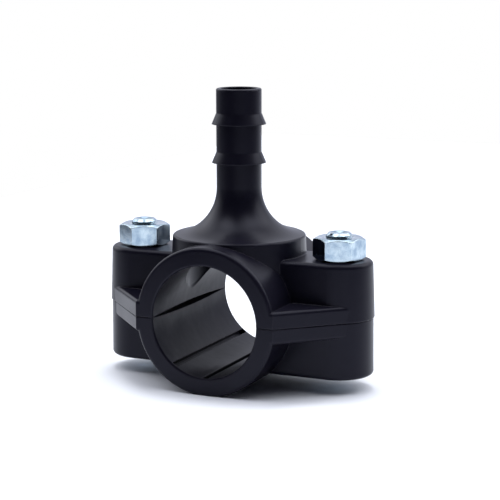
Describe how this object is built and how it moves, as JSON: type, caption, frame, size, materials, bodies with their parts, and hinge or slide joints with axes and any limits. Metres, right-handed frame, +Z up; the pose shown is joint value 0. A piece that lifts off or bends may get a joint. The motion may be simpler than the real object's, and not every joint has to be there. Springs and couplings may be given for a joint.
{
  "type": "tapping saddle",
  "caption": "Split pipe clamp saddle with a flared round base, a straight barbed hose outlet, and an ear on each side closed by a bolt and nut.",
  "frame": {"origin": "the point where the outlet's axis crosses the axis of the clamped pipe", "axes": "+Y along the pipe, +Z up the outlet, +X towards the right ear"},
  "size_m": [0.0824, 0.048, 0.0843],
  "materials": {
    "black_plastic": "satin moulded black",
    "seal_rubber": "matt",
    "zinc_steel": "bright zinc plated, pale blue passivation"
  },
  "bodies": {
    "lower_clamp": {"lower_saddle": "black_plastic", "bolt_left": "zinc_steel", "bolt_right": "zinc_steel"},
    "upper_clamp": {"upper_saddle": "black_plastic", "seal_ring": "seal_rubber"},
    "nut_left": {"nut_left": "zinc_steel"},
    "nut_right": {"nut_right": "zinc_steel"}
  },
  "joints": [
    {"name": "clamp_open", "type": "slide", "parent": "lower_clamp", "child": "upper_clamp", "axis": [0, 0, 1], "range_m": [0, 0.00625]},
    {"name": "nut_left_turn", "type": "hinge", "parent": "upper_clamp", "child": "nut_left", "pos_m": [-0.031, 0, 0.0196], "axis": [0, 0, 1], "range_deg": [0, 1800]},
    {"name": "nut_right_turn", "type": "hinge", "parent": "upper_clamp", "child": "nut_right", "pos_m": [0.031, 0, 0.0196], "axis": [0, 0, 1], "range_deg": [0, 1800]}
  ],
  "couplings": [
    {"joint": "nut_left_turn", "follows": "clamp_open", "rad_per_m": 5026.5},
    {"joint": "nut_right_turn", "follows": "clamp_open", "rad_per_m": 5026.5}
  ]
}
